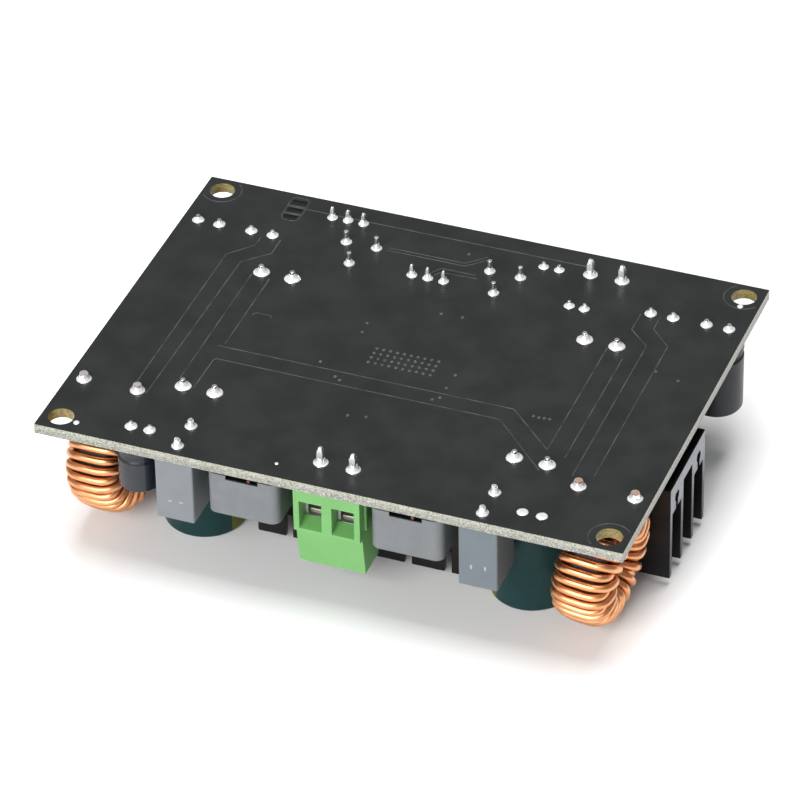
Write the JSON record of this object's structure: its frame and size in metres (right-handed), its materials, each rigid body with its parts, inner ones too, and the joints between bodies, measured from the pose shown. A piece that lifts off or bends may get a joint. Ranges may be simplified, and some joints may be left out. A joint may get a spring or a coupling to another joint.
{
  "type": "audio amplifier board",
  "caption": "Class-D audio amplifier board, solder side up, with finned heatsink, toroid coils, capacitors, screw terminals and mounting holes in the corners.",
  "frame": {"origin": "centre of the mounting hole pattern, on the solder face of the board", "axes": "+X along the board's long side to the right, +Y towards the supply terminal, +Z out of the solder face"},
  "size_m": [0.09, 0.0674, 0.026],
  "materials": {
    "board": "matt black solder mask on glass laminate, pale cut edges",
    "solder": "bright reflowed solder",
    "heatsink": "black anodised extrusion, paler cut ends",
    "bonding_pad": "soft grey heat-conducting pad",
    "chip_case": "black moulded case with tinned leads",
    "chip_ceramic": "tan ceramic with tinned ends",
    "bare_aluminium": "drawn bare aluminium",
    "green_sleeve": "dark green shrink sleeve with a yellow stripe",
    "dark_sleeve": "dark grey shrink sleeve with a pale stripe",
    "iron_powder": "dark coated ring core",
    "copper_wire": "lacquered copper wire",
    "grey_film_case": "light grey moulded box",
    "grey_ferrite": "light grey coated ferrite",
    "dark_ferrite": "dark ferrite",
    "green_moulding": "bright green moulded plastic",
    "plated_steel": "tin plated steel",
    "black_moulding": "black moulded plastic",
    "plated_brass": "plated pins",
    "blue_moulding": "blue moulded plastic",
    "cream_moulding": "cream moulded plastic",
    "lamp_resin": "tinted clear resin"
  },
  "bodies": {
    "board_assembly": {"circuit_board": "board", "solder_joints": "solder", "heatsink": "heatsink", "bonding_pad": "bonding_pad", "amplifier_chip": "chip_case", "chip_capacitors": "chip_ceramic", "reservoir_can_front_left": "bare_aluminium", "reservoir_can_front_right": "bare_aluminium", "reservoir_can_back_left": "bare_aluminium", "reservoir_can_back_right": "bare_aluminium", "reservoir_sleeve_front_left": "green_sleeve", "reservoir_sleeve_front_right": "green_sleeve", "reservoir_sleeve_back_left": "green_sleeve", "reservoir_sleeve_back_right": "green_sleeve", "supply_can_1": "bare_aluminium", "supply_can_2": "bare_aluminium", "supply_can_3": "bare_aluminium", "supply_can_4": "bare_aluminium", "supply_sleeve_1": "dark_sleeve", "supply_sleeve_2": "dark_sleeve", "supply_sleeve_3": "dark_sleeve", "supply_sleeve_4": "dark_sleeve", "filter_can": "bare_aluminium", "filter_sleeve": "dark_sleeve", "coupling_can": "bare_aluminium", "coupling_sleeve": "dark_sleeve", "coil_core_left": "iron_powder", "coil_core_right": "iron_powder", "coil_winding_left": "copper_wire", "coil_winding_right": "copper_wire", "film_capacitor_left": "grey_film_case", "film_capacitor_right": "grey_film_case", "choke_shield_left": "grey_ferrite", "choke_shield_right": "grey_ferrite", "choke_drum_left": "dark_ferrite", "choke_drum_right": "dark_ferrite", "choke_winding_left": "copper_wire", "choke_winding_right": "copper_wire", "front_terminal_housing": "green_moulding", "front_terminal_contacts": "plated_steel", "back_terminal_housing": "green_moulding", "back_terminal_contacts": "plated_steel", "input_header_strip": "black_moulding", "input_header_pins": "plated_brass", "jumper_header_strip": "black_moulding", "jumper_header_pins": "plated_brass", "trimmer_body_left": "blue_moulding", "trimmer_body_right": "blue_moulding", "indicator_lamp": "lamp_resin"},
    "front_left_screw": {"front_screw_left": "plated_steel"},
    "front_left_clamp": {"front_clamp_left": "plated_steel"},
    "front_right_screw": {"front_screw_right": "plated_steel"},
    "front_right_clamp": {"front_clamp_right": "plated_steel"},
    "back_left_screw": {"back_screw_left": "plated_steel"},
    "back_left_clamp": {"back_clamp_left": "plated_steel"},
    "back_right_screw": {"back_screw_right": "plated_steel"},
    "back_right_clamp": {"back_clamp_right": "plated_steel"},
    "left_trimmer_rotor": {"trimmer_rotor_left": "cream_moulding"},
    "right_trimmer_rotor": {"trimmer_rotor_right": "cream_moulding"}
  },
  "joints": [
    {"name": "front_left_screw_turn", "type": "hinge", "parent": "board_assembly", "child": "front_left_screw", "pos_m": [-0.0025, -0.0283, -0.01], "axis": [0, 0, 1], "range_deg": [0, 1764]},
    {"name": "front_left_clamp_rise", "type": "slide", "parent": "board_assembly", "child": "front_left_clamp", "axis": [0, 0, -1], "range_m": [0, 0.0022]},
    {"name": "front_right_screw_turn", "type": "hinge", "parent": "board_assembly", "child": "front_right_screw", "pos_m": [0.0025, -0.0283, -0.01], "axis": [0, 0, 1], "range_deg": [0, 1764]},
    {"name": "front_right_clamp_rise", "type": "slide", "parent": "board_assembly", "child": "front_right_clamp", "axis": [0, 0, -1], "range_m": [0, 0.0022]},
    {"name": "back_left_screw_turn", "type": "hinge", "parent": "board_assembly", "child": "back_left_screw", "pos_m": [0.01855, 0.02855, -0.01], "axis": [0, 0, 1], "range_deg": [0, 1764]},
    {"name": "back_left_clamp_rise", "type": "slide", "parent": "board_assembly", "child": "back_left_clamp", "axis": [0, 0, -1], "range_m": [0, 0.0022]},
    {"name": "back_right_screw_turn", "type": "hinge", "parent": "board_assembly", "child": "back_right_screw", "pos_m": [0.02355, 0.02855, -0.01], "axis": [0, 0, 1], "range_deg": [0, 1764]},
    {"name": "back_right_clamp_rise", "type": "slide", "parent": "board_assembly", "child": "back_right_clamp", "axis": [0, 0, -1], "range_m": [0, 0.0022]},
    {"name": "left_trimmer_turn", "type": "hinge", "parent": "board_assembly", "child": "left_trimmer_rotor", "pos_m": [-0.0166, 0.0217, -0.004], "axis": [0, 0, 1], "range_deg": [-120, 120]},
    {"name": "right_trimmer_turn", "type": "hinge", "parent": "board_assembly", "child": "right_trimmer_rotor", "pos_m": [0.0065, 0.0217, -0.004], "axis": [0, 0, 1], "range_deg": [-120, 120]}
  ],
  "couplings": [
    {"joint": "front_left_screw_turn", "follows": "front_left_clamp_rise", "rad_per_m": 13963},
    {"joint": "front_right_screw_turn", "follows": "front_right_clamp_rise", "rad_per_m": 13963},
    {"joint": "back_left_screw_turn", "follows": "back_left_clamp_rise", "rad_per_m": 13963},
    {"joint": "back_right_screw_turn", "follows": "back_right_clamp_rise", "rad_per_m": 13963}
  ]
}
